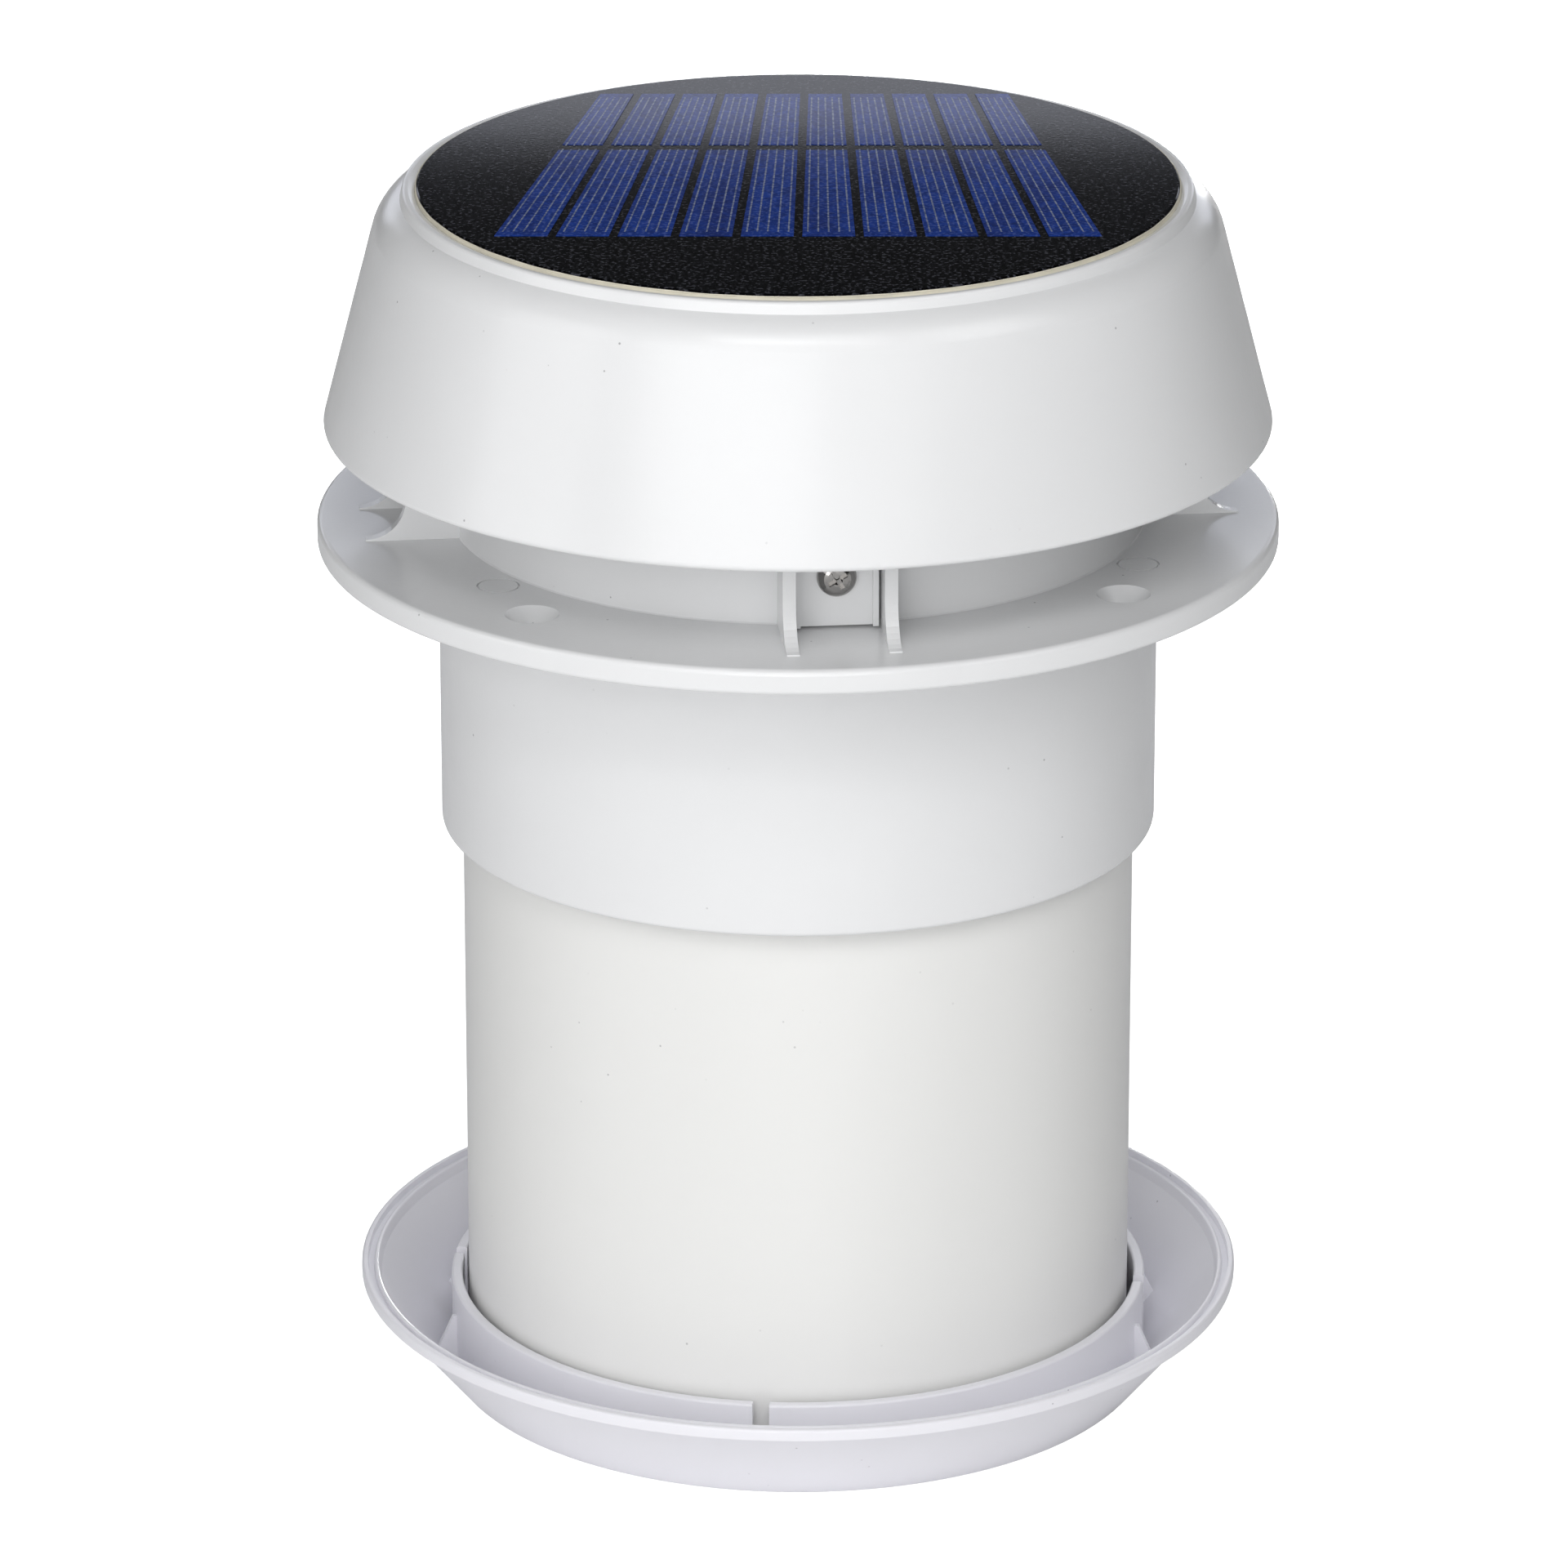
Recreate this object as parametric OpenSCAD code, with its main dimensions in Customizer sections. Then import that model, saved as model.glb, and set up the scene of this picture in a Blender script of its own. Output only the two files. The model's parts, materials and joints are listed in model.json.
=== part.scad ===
// Solar roof and attic ventilator with a telescopic duct and a ceiling ring.
// Millimetres, +Z up. The origin is the middle of the face that it stands on,
// the front is towards -Y, and every round part turns about the Z axis.

/* [Roof base] */
// Radius of the mounting flange
flange_r = 113.5; // [110:0.5:122]
// Thickness of the mounting flange
flange_t = 6; // [4:0.5:8]
// Height of the flange's top face above the standing face
flange_z = 216; // [206:1:226]
// Outer radius of the collar that goes through the roof
collar_r = 85; // [84.5:0.1:86]
// Length of the collar below the flange
collar_l = 69.5; // [50:0.5:80]
// Outer radius of the air throat above the flange
throat_r = 82; // [81.5:0.1:82.5]
// Height of the air throat above the flange
throat_h = 34; // [30:1:36]
// Radius of the circle of mounting holes
hole_circle_r = 96.5; // [95:0.5:104]
// Radius of a mounting hole
hole_r = 2.75; // [2:0.05:3.2]
// Radius of the countersink that takes a mounting screw's head
countersink_r = 6.3; // [4.5:0.1:7]
// Turn of the brackets from the front, in degrees
bracket_turn = 5.9; // [0:0.1:20]

/* [Hood] */
// Outer radius of the hood at its rim
hood_rim_r = 111.9; // [109:0.1:114]
// Height of the hood's rim above the flange
hood_gap = 22.5; // [16:0.5:24]
// Outer radius of the lip round the solar panel
lip_r = 92.5; // [92:0.1:93]
// Thickness of the hood's wall
hood_wall = 2.5; // [2:0.1:3]

/* [Solar panel] */
// Radius of the panel
panel_r = 89; // [88:0.1:89]
// Solar cells in each of the two rows
cells_per_row = 10; // [6:1:12]
// Width of the array of cells along its front edge
array_front_w = 141; // [100:1:143]
// Width of the array along its back edge, towards which the cells taper
array_back_w = 100; // [80:1:101]
// Distance from the panel's middle to the array's front edge
array_front = 44.5; // [35:0.5:50]
// Distance from the panel's middle to the array's back edge
array_back = 71.5; // [60:0.5:71.5]
// Sideways shift of the array's back edge
array_lean = 1.5; // [0:0.1:1.8]
// Distance of the gap between the rows behind the panel's middle
row_split = 26.5; // [10:0.5:30]
// Gap between neighbouring cells
cell_gap = 2; // [1:0.1:3]
// Gap between the two rows
row_gap = 4.5; // [3:0.5:8]

/* [Fan] */
// Number of fan blades
blades = 5; // [3:1:6]
// Radius of the blade tips
blade_tip_r = 72; // [60:1:73]
// Blade angle, in degrees
blade_pitch = 30; // [20:1:34]

/* [Duct] */
// Outer radius of the sliding duct
duct_r = 80; // [78:0.1:80.5]
// Thickness of the duct's wall
duct_wall = 3; // [2:0.1:3.5]
// Height of the duct's upper end
duct_top = 172; // [160:1:178]

/* [Ceiling ring] */
// Outer radius of the ring's rim
rim_r = 106; // [104:0.5:112]
// Height of the ring
rim_z = 25.5; // [22:0.5:30]
// Height of the slotted spigot that grips the duct
spigot_h = 22; // [18:0.5:24]
// Width of a spigot slot
slot_w = 4; // [2:0.5:6]
// Turn of the slots from the front, in degrees
slot_turn = -6; // [-20:1:20]

/* [Hidden] */
$fn = 96;
overlap = 0.02;                       // keeps unions and cuts clean
edge_r = 1;                           // rounding of the moulded edges
through = 1;                          // how far a cut runs past a face

// Roof base
flange_low = flange_z - flange_t;
collar_low = flange_low - collar_l;
collar_in = collar_r - 3.2;
flange_edge_r = 1.4;                  // rounding of the flange's upper edge
socket_h = 3;                         // how far the collar's top stands up into the flange
socket_step = 1.4;
socket_gap = 0.02;
throat_in = throat_r - 3;
throat_top = flange_z + throat_h;
gusset_t = 3;                         // thickness of a bracket plate
gusset_y = 11.66;                     // from the bracket's middle plane to a plate's middle
gusset_r = 93.5;                      // outer edge of a bracket plate
gusset_foot = 9.5;                    // radius of the hollow curve at a plate's foot
boss_r = 5;                           // boss inside the throat for a hood screw
boss_l = 4;
screw_hole_r = 2.15;
hole_floor = 1.8;                     // height of the plain hole under a countersink
mark_circle_r = 88.4;
mark_turn = 57.4;                     // pin marks, from the front and rear brackets
mark_r = 5;
mark_depth = 0.5;
mark_w = 0.45;
screw_z = flange_z + 12.5;            // height of the hood screws
seal_z = collar_low + 6;              // lower face of the duct seal's groove
seal_h = 4;
seal_depth = 1.4;
seal_gap = 0.1;                       // play of the seal in its groove
lip_play = 0.08;                      // between the seal's lip and the duct

// Hood
rim_low = flange_z + hood_gap;
plate_low = 290.4;                    // underside of the plate that carries the panel
plate_top = 293;
lip_top = 296.1;
lip_chamfer = 0.6;
lip_w = 3;
lip_edge_r = 0.9;
flank_a = 14.57;                      // flank's lean from the vertical, in degrees
shoulder_r = 12;
shoulder_end = 66;                    // angle at which the shoulder's arc meets the lip
shoulder_z = lip_top - 2.7 - shoulder_r * sin(shoulder_end);
shoulder_c = [hood_rim_r - (shoulder_z - rim_low) * tan(flank_a) - shoulder_r / cos(flank_a), shoulder_z];
leg_in = throat_r + 0.3;
leg_t = 2.5;
leg_half = 9.6;
leg_rib = 1.3;
leg_low = flange_z + 0.6;
leg_hole_r = 2.6;
rib_out = 1.4;                        // how far a leg's rib stands out at its foot
rib_reach = 7;                        // and under the hood's plate
ear_boss_r = 4;
ear_thread_r = 1.3;
lead_hole_r = 4;

// Solar panel
panel_low = plate_top + 0.5;
panel_top = 296.9;                    // the panel stands a little proud of the lip
panel_edge = 0.3;
cell_t = 0.15;
seal_in = 80;                         // inner radius of the adhesive ring
bead_play = 0.05;
bead_drop = 0.5;                      // how far the bead's top lies under the panel's

// Housing of the motor, battery and circuit board, under the hood's plate
pod_r = 50;
pod_wall = 2.2;
pod_low = 254;
pod_floor = 256.5;
pod_top = 290;
ear_r = 55;                           // circle of the housing's ears
ear_eye_r = 4.5;
ear_low = 281.5;
ear_top = 284;
board_z = 280;
board_t = 1.6;
board_post = [40.5, 12.5];
post_r = 2.75;
connector_h = 4.4;
lead_r = 0.8;                         // radius of a panel, battery or switch lead
switch_x = 33;
switch_size = [13, 8.6, 12];
bezel_w = 1.1;                        // how far the switch's bezel stands out
bezel_t = 1.6;
rocker_w = 6.6;
pivot_r = 0.9;
pivot_z = 253.6;                      // rocker's pivot
rocker_tilt = 10;
grommet_y = 38;

// Motor and fan
shaft_r = 1.5;
running = 0.05;                       // radial clearance of the shaft in its bushes
motor_r = 14;
bush_r = 4;
core_r = 10.7;
core_l = 15;
terminal_x = 9;
motor_screw_y = 8.5;
can_low = pod_floor + 0.1;
can_top = 282.6;
core_low = can_low + 5;
cap_top = 286;
hub_r = 22;
hub_wall = 2;
boss_out = 4.5;                       // radius of the hub's inner boss
shaft_play = 0.02;                    // of the parts pressed on the shaft
hub_low = 222;
hub_top = 242;
blade_z = 232;
camber_r = 60;
blade_t = 2;

// Battery
cell_r = 9.1;
cell_l = 65;
cell_y = 24.3;
cell_z = 267.3;
contact_t = 0.5;
contact_w = 8;
holder_end_t = 1.9;
contact_top = pod_floor + 16;

// Ceiling ring
ledge_in = 72;
ledge_t = 2.5;
foot_r = 85.5;
spigot_r = 84.2;
spigot_in = 81.6;
rib_turns = [-9, 17];                 // ribs of the spigot, from each slot
rib_top = 15.5;
duct_low = ledge_t + 0.1;
screen_z = 4.05;
screen_t = 0.35;
retainer_r = 76.2;
retainer_screw_r = 74;
retainer_top = 7;
grille_low = 0.4;
grille_t = 2.6;
grille_rings = [14:11:61];

// ---------- Helpers ----------

function arc(c, r, a0, a1, n) =
    [for (i = [0:n]) let (a = a0 + (a1 - a0) * i / n) [c[0] + r * cos(a), c[1] + r * sin(a)]];

// A ring of rectangular section
module ring(r_out, r_in, z0, z1) {
    difference() {
        translate([0, 0, z0]) cylinder(r = r_out, h = z1 - z0);
        translate([0, 0, z0 - through]) cylinder(r = r_in, h = z1 - z0 + 2 * through);
    }
}

// A round bar along +X from x0 to x1, at height z
module radial_bar(r, x0, x1, z) {
    translate([x0, 0, z]) rotate([0, 90, 0]) cylinder(r = r, h = x1 - x0);
}

// A plate of thickness t, drawn in the plane of X and Z, with its middle at y
module fin(points, t, y = 0) {
    translate([0, y + t / 2, 0]) rotate([90, 0, 0]) linear_extrude(height = t) polygon(points);
}

// Children drawn towards +X, repeated four times round Z; turn counts from the front
module four_times(turn) {
    for (k = [0:3]) rotate([0, 0, turn - 90 + 90 * k]) children();
}

// Children at the four corners of a rectangle with half sides p
module four_corners(p) {
    for (sx = [-1, 1], sy = [-1, 1]) translate([sx * p[0], sy * p[1], 0]) children();
}

// Children at the four ears that hold the housing under the hood
module at_ears(z) {
    four_times(bracket_turn + 45) translate([ear_r, 0, z]) children();
}

// A pan-head cross screw: head upwards from z = 0, shank downwards
module pan_screw(head_r, head_h, shank_r, shank_l) {
    slot = head_r * 0.24;
    difference() {
        union() {
            rotate_extrude() polygon(concat(
                [[0, 0], [head_r, 0], [head_r, head_h * 0.25]],
                [for (i = [1:6]) let (a = 15 * i)
                    [head_r * (0.35 + 0.65 * cos(a)), head_h * (0.25 + 0.75 * sin(a))]],
                [[0, head_h]]));
            translate([0, 0, -shank_l + shank_r]) cylinder(r = shank_r, h = shank_l - shank_r + overlap);
            translate([0, 0, -shank_l]) cylinder(r1 = shank_r * 0.2, r2 = shank_r, h = shank_r + overlap);
        }
        for (a = [0, 90]) rotate([0, 0, a])
            translate([-head_r * 0.52, -slot / 2, head_h * 0.35]) cube([head_r * 1.04, slot, head_h]);
        translate([0, 0, head_h * 0.2]) cylinder(r1 = slot * 0.5, r2 = slot * 1.2, h = head_h);
    }
}

// A wire swept along a cubic curve through its four control points
function bezier(p, t) =
    pow(1 - t, 3) * p[0] + 3 * t * pow(1 - t, 2) * p[1] + 3 * t * t * (1 - t) * p[2] + pow(t, 3) * p[3];

// The curve's points share one y, so each section is turned about Y only
module flat_wire(p, r, steps = 14, sides = 8) {
    line = [for (i = [0:steps]) bezier(p, i / steps)];
    way = [for (i = [0:steps]) line[min(i + 1, steps)] - line[max(i - 1, 0)]];
    sections = [for (i = [0:steps]) let (n = norm(way[i]), u = [way[i][2] / n, 0, -way[i][0] / n])
        for (k = [0:sides - 1]) let (a = 360 * k / sides)
            line[i] + r * cos(a) * u + [0, r * sin(a), 0]];
    walls = [for (i = [0:steps - 1], k = [0:sides - 1]) let (n = (k + 1) % sides)
        [i * sides + k, i * sides + n, (i + 1) * sides + n, (i + 1) * sides + k]];
    polyhedron(points = sections, faces = concat(
        [[for (k = [sides - 1:-1:0]) k]], walls, [[for (k = [0:sides - 1]) steps * sides + k]]));
}

// ---------- Roof base ----------

// The flange, with the collar under it and the throat on it, is one moulding drawn in three parts
module flange_profile() {
    socket_r = collar_r + socket_gap;
    polygon(concat(
        [[throat_in, flange_low + socket_h], [socket_r - socket_step, flange_low + socket_h],
         [socket_r - socket_step, flange_low + socket_step], [socket_r, flange_low]],
        arc([flange_r - edge_r, flange_low + edge_r], edge_r, -90, 0, 4),
        arc([flange_r - flange_edge_r, flange_z - flange_edge_r], flange_edge_r, 0, 90, 5),
        [[throat_in, flange_z]]));
}

module collar_profile() {
    chamfer = 0.6;
    polygon(concat(
        [[collar_in, collar_low + chamfer], [collar_in + chamfer, collar_low]],
        arc([collar_r - edge_r, collar_low + edge_r], edge_r, -90, 0, 4),
        [[collar_r, flange_low], [collar_r - socket_step, flange_low + socket_step],
         [collar_r - socket_step, flange_low + socket_h], [collar_in, flange_low + socket_h]],
        // groove of the duct seal
        [[collar_in, seal_z + seal_h], [collar_in + seal_depth, seal_z + seal_h],
         [collar_in + seal_depth, seal_z], [collar_in, seal_z]]));
}

module throat_profile() {
    fillet = 0.3;
    polygon(concat(
        [[throat_in, flange_z], [throat_r + fillet, flange_z], [throat_r, flange_z + fillet]],
        arc([throat_r - edge_r, throat_top - edge_r], edge_r, 0, 90, 4),
        arc([throat_in + edge_r, throat_top - edge_r], edge_r, 90, 180, 4)));
}

// One of the two upright plates of a bracket, with its hollow foot
module gusset(side) {
    foot_tip = gusset_r + gusset_foot;
    foot_z = flange_z + 0.3;
    shoulder_z = throat_top - 4;
    chamfer = 2;
    fin(concat(
        [[throat_in + 1, flange_z], [foot_tip, flange_z]],
        arc([foot_tip, foot_z + gusset_foot], gusset_foot, 270, 180, 9),
        [[gusset_r, shoulder_z - chamfer], [gusset_r - chamfer, shoulder_z], [throat_in + 1, shoulder_z]]),
        gusset_t, side * gusset_y);
}

module mounting_hole() {
    translate([hole_circle_r, 0, flange_low - through]) cylinder(r = hole_r, h = flange_t + 2 * through);
    translate([hole_circle_r, 0, flange_low + hole_floor])
        cylinder(r1 = hole_r, r2 = countersink_r, h = flange_t - hole_floor);
    translate([hole_circle_r, 0, flange_z - overlap]) cylinder(r = countersink_r, h = through);
}

// Fine ring that an ejector pin leaves beside each hole
module pin_mark() {
    translate([mark_circle_r, 0, flange_z - mark_depth]) difference() {
        cylinder(r = mark_r, h = mark_depth + through);
        translate([0, 0, -through]) cylinder(r = mark_r - mark_w, h = mark_depth + 3 * through);
    }
}

module roof_flange() {
    color("white") difference() {
        rotate_extrude() flange_profile();
        four_times(bracket_turn + 45) mounting_hole();
        for (side = [-1, 1], half = [0, 180])
            rotate([0, 0, bracket_turn - 90 + mark_turn * side + half]) pin_mark();
    }
}

module roof_collar() {
    color("white") rotate_extrude() collar_profile();
}

module air_throat() {
    color("white") difference() {
        union() {
            rotate_extrude() throat_profile();
            four_times(bracket_turn) {
                gusset(-1);
                gusset(1);
                radial_bar(boss_r, throat_in - boss_l, throat_in + 1, screw_z);
            }
        }
        four_times(bracket_turn)
            radial_bar(screw_hole_r, throat_in - boss_l - through, throat_r + through, screw_z);
    }
}

module duct_seal() {
    back = collar_in + seal_depth - 0.05;
    low = seal_z + seal_gap;
    high = seal_z + seal_h - seal_gap;
    middle = seal_z + seal_h / 2;
    lip_half = 0.5;
    color("dimgray") rotate_extrude() polygon([
        [duct_r + lip_play, middle - lip_half], [duct_r + lip_play, middle + lip_half],
        [collar_in, high], [back, high], [back, low], [collar_in, low]]);
}

// ---------- Hood ----------

// Point of the flank at height z; d is how far inside the outer face it lies
function flank(z, d = 0) = [hood_rim_r - (z - rim_low) * tan(flank_a) - d / cos(flank_a), z];

module hood_profile() {
    flank_top = shoulder_c[1] + shoulder_r * sin(flank_a);
    foot_r = 1.2;                     // rounding of the hood's lower edge
    polygon(concat(
        [[0, plate_low], flank(plate_low - 1.5, hood_wall) - [3.6, -1.5], flank(plate_low - 5, hood_wall)],
        [flank(rim_low + 1, hood_wall) + [0.3, 0], flank(rim_low + 0.2, hood_wall) + [0.8, -0.2]],
        arc(flank(rim_low + foot_r, foot_r), foot_r, -80, flank_a, 5),
        [for (i = [0:4]) flank(rim_low + 2 + (flank_top - rim_low - 4) * i / 4)],
        arc(shoulder_c, shoulder_r, flank_a + 6, shoulder_end, 20),
        arc([lip_r - lip_edge_r, lip_top - lip_edge_r], lip_edge_r, 0, 90, 6),
        [[lip_r - lip_w / 2, lip_top], [lip_r - lip_w, lip_top - lip_chamfer], [lip_r - lip_w, plate_top],
         [0, plate_top]]));
}

module hood() {
    color("white") difference() {
        union() {
            rotate_extrude($fn = 180) hood_profile();
            at_ears(ear_top) cylinder(r = ear_boss_r, h = plate_low - ear_top + 1);
        }
        at_ears(ear_top - through) cylinder(r = ear_thread_r, h = 7);
        translate([0, grommet_y, plate_low - through]) cylinder(r = lead_hole_r, h = 5);
    }
}

// Leg that stands between two bracket plates, with its side ribs
module hood_leg() {
    leg_out = leg_in + leg_t;
    translate([leg_in, -leg_half, leg_low]) cube([leg_t, 2 * leg_half, plate_low - leg_low]);
    for (side = [-1, 1])
        fin([[leg_in + 1, leg_low], [leg_out + rib_out, leg_low], [leg_out + rib_out, throat_top],
             [leg_out + rib_reach, plate_low], [leg_in + 1, plate_low]],
            leg_rib, side * (leg_half - leg_rib / 2));
}

// The legs are moulded with the hood, and drawn as four bodies of their own
module hood_legs() {
    color("white") four_times(bracket_turn) difference() {
        hood_leg();
        radial_bar(leg_hole_r, leg_in - through, leg_in + leg_t + through, screw_z);
    }
}

module hood_screws() {
    color("silver") four_times(bracket_turn)
        translate([leg_in + leg_t, 0, screw_z]) rotate([0, 90, 0]) rotate([0, 0, 30])
            pan_screw(4.6, 3, 2.1, 9.5);
}

// ---------- Solar panel ----------

module panel_board() {
    color("#15161a") rotate_extrude($fn = 180)
        polygon([[0, panel_low], [panel_r, panel_low], [panel_r, panel_top - panel_edge],
                 [panel_r - panel_edge, panel_top], [0, panel_top]]);
}

// Share of the array's depth that lies in front of y
function array_share(y) = (y + array_front) / (array_back + array_front);

// Half of the array's width at depth y
function array_half(y) = (array_front_w + (array_back_w - array_front_w) * array_share(y)) / 2;

// Side of cell number i at depth y, where step is 0 for its left side and 1 for its right
function cell_side(i, step, y) =
    [array_half(y) * (2 * (i + step) / cells_per_row - 1) + (0.5 - step) * cell_gap
     + array_lean * array_share(y), y];

module solar_cells() {
    rows = [[-array_front, row_split - row_gap / 2], [row_split + row_gap / 2, array_back]];
    color("#1c3a8c") translate([0, 0, panel_top])
        for (i = [0:cells_per_row - 1], row = rows)
            linear_extrude(height = cell_t)
                polygon([cell_side(i, 0, row[0]), cell_side(i, 1, row[0]),
                         cell_side(i, 1, row[1]), cell_side(i, 0, row[1])]);
}

// Adhesive ring under the panel's edge, and the bead that shows round it
module panel_seal() {
    out = lip_r - lip_w - bead_play;
    inner = panel_r + bead_play;
    color("#d9cfae") rotate_extrude($fn = 180)
        polygon([[seal_in, plate_top], [out, plate_top], [out, lip_top - lip_chamfer],
                 [inner, panel_top - bead_drop], [inner, panel_low], [seal_in, panel_low]]);
}

module lead_grommet() {
    head_t = 1.55;
    color("dimgray") translate([0, grommet_y, 0]) difference() {
        union() {
            translate([0, 0, plate_low - 1])
                cylinder(r = lead_hole_r - 0.05, h = plate_top - plate_low + 1);
            translate([0, 0, plate_low - head_t - 0.05]) cylinder(r = 5.6, h = head_t);
        }
        translate([0, 0, plate_low - 3]) cylinder(r = 2.2, h = 8);
    }
}

// Lead from the circuit board's connector up to the panel
module panel_lead(x) {
    low = board_z + board_t + connector_h;
    translate([x, grommet_y, low]) cylinder(r = lead_r, h = panel_low - low);
}

module panel_lead_red() {
    color("firebrick") panel_lead(-lead_r - 0.25);
}

module panel_lead_black() {
    color("#1b1c1f") panel_lead(lead_r + 0.25);
}

// ---------- Motor housing ----------

module motor_housing() {
    thread_l = 8;
    floor_cut = pod_floor - pod_low + 2 * through;
    color("gainsboro") difference() {
        union() {
            rotate_extrude() polygon(concat(
                [[0, pod_low]], arc([pod_r - 3, pod_low + 3], 3, -90, 0, 6),
                [[pod_r, pod_top], [pod_r - pod_wall, pod_top],
                 [pod_r - pod_wall, pod_floor], [0, pod_floor]]));
            at_ears(ear_low) {
                translate([pod_r - ear_r - 1, -ear_eye_r, 0])
                    cube([ear_r - pod_r + 1, 2 * ear_eye_r, ear_top - ear_low]);
                cylinder(r = ear_eye_r, h = ear_top - ear_low);
            }
            four_corners(board_post) translate([0, 0, pod_low + 1])
                cylinder(r = post_r, h = board_z - pod_low - 1);
        }
        at_ears(ear_low - through) cylinder(r = 1.7, h = 6);
        four_corners(board_post) translate([0, 0, board_z - thread_l])
            cylinder(r = 0.9, h = thread_l + through);
        translate([0, 0, pod_low - through]) {
            cylinder(r = bush_r + 1.1, h = floor_cut);
            for (side = [-1, 1]) translate([0, motor_screw_y * side, 0]) cylinder(r = 1.4, h = floor_cut);
            translate([switch_x - switch_size[0] / 2 - 0.1, -switch_size[1] / 2 - 0.1, 0])
                cube([switch_size[0] + 0.2, switch_size[1] + 0.2, floor_cut]);
        }
    }
}

module housing_gasket() {
    color("dimgray") ring(pod_r, pod_r - pod_wall - 1, pod_top, plate_low);
}

module housing_screws() {
    color("silver") at_ears(ear_low) mirror([0, 0, 1]) pan_screw(2.8, 2, 1.25, 7.5);
}

// ---------- Motor ----------

module motor_can() {
    wall = 0.8;
    floor_t = 1;
    neck = bush_r + 0.1;
    color("silver") rotate_extrude() polygon([
        [neck, can_low], [motor_r - 1, can_low], [motor_r, can_low + 1], [motor_r, can_top],
        [motor_r - wall, can_top], [motor_r - wall, can_low + floor_t], [neck + 0.9, can_low + floor_t],
        [neck + 0.9, can_low + 2], [neck, can_low + 2]]);
}

module motor_magnets() {
    span = 120;
    color("#3a3a3c") for (a = [0, 180]) rotate([0, 0, a - span / 2])
        rotate_extrude(angle = span)
            translate([core_r + 0.4, can_low + 3.5]) square([2, 18]);
}

module motor_end_cap() {
    window = 3.2;
    color("#20242a") difference() {
        union() {
            translate([0, 0, can_top]) cylinder(r = motor_r, h = cap_top - can_top - 0.8);
            translate([0, 0, can_top]) cylinder(r = 6, h = cap_top - can_top);
        }
        translate([0, 0, can_top - through]) cylinder(r = bush_r + 0.05, h = 8);
        for (side = [-1, 1])
            translate([terminal_x * side - window / 2, -window / 2, can_top - through])
                cube([window, window, 8]);
    }
}

module motor_bushes() {
    color("#b5894a") {
        ring(bush_r, shaft_r + running, pod_low - 0.5, can_low + 2);
        ring(bush_r, shaft_r + running, can_top + 0.1, cap_top - 0.2);
    }
}

// Brush arms that press on the commutator, each joined to its terminal
module motor_brushes() {
    post = 3;
    arm_l = 4.45;
    color("#c98b4b") for (side = [-1, 1]) {
        translate([terminal_x * side - post / 2, -post / 2, can_top - 3])
            cube([post, post, cap_top - can_top + 3.2]);
        translate([side > 0 ? bush_r + 0.05 : -bush_r - 0.05 - arm_l, -1.2, can_top - 3])
            cube([arm_l, 2.4, 2]);
    }
}

module motor_screws() {
    color("silver") for (side = [-1, 1]) translate([0, motor_screw_y * side, pod_low])
        mirror([0, 0, 1]) pan_screw(2.3, 1.5, 1.2, 2.55);
}

// Leads from the motor's terminals over to the circuit board
module motor_leads() {
    peak = 290;
    landing_x = 21;
    color("firebrick") for (side = [-1, 1])
        flat_wire([[terminal_x * side, 0, cap_top + 0.6], [terminal_x * side, 0, peak],
                   [landing_x * side, 0, peak], [landing_x * side, 0, board_z + board_t + 0.3]], 0.7);
}

module motor_shaft() {
    tail = 4;
    color("silver") translate([0, 0, hub_low - tail]) cylinder(r = shaft_r, h = cap_top - hub_low + tail - 1);
}

// Three-pole core
module armature_core() {
    slot = 2.4;
    color("#6b6e73") difference() {
        translate([0, 0, core_low]) cylinder(r = core_r, h = core_l);
        for (a = [60:120:300]) rotate([0, 0, a])
            translate([4.5, -slot / 2, core_low - through]) cube([8, slot, core_l + 2 * through]);
        translate([0, 0, core_low - through])
            cylinder(r = shaft_r + shaft_play, h = core_l + 2 * through);
    }
}

module armature_windings() {
    coil_t = 2.5;
    color("#b4622d") for (z = [core_low - coil_t - 0.1, core_low + core_l + 0.05])
        ring(8.6, shaft_r + 1.2, z, z + coil_t);
}

module commutator() {
    low = can_top - 3.2;
    high = can_top - 0.2;
    slit = 0.5;
    color("#c98b4b") difference() {
        ring(bush_r, shaft_r + shaft_play, low, high);
        for (a = [0:120:240]) rotate([0, 0, a])
            translate([2.6, -slit / 2, low - through]) cube([3, slit, high - low + 2 * through]);
    }
}

// ---------- Fan ----------

// Cambered blade: a slice of a thin round shell, tilted and cut to its outline
module blade() {
    root_half = 10;
    chord_half = 11.5;
    intersection() {
        ring(blade_tip_r, hub_r - 1, hub_low - 4, hub_top + 8);
        linear_extrude(height = 2 * hub_top) polygon(concat(
            [[hub_r - 4, -root_half], [hub_r + 6, -chord_half]],
            arc([blade_tip_r - 9, -9.5], 11, 270, 345, 6),
            arc([blade_tip_r - 7, 10.5], 8, 15, 90, 6),
            [[hub_r + 6, chord_half], [hub_r - 4, root_half]]));
        translate([0, 0, blade_z]) rotate([blade_pitch, 0, 0]) translate([0, 0, 1.5 - camber_r])
            rotate([0, 90, 0]) difference() {
                cylinder(r = camber_r, h = 90, $fn = 180);
                translate([0, 0, -through])
                    cylinder(r = camber_r - blade_t, h = 90 + 2 * through, $fn = 180);
            }
    }
}

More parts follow.
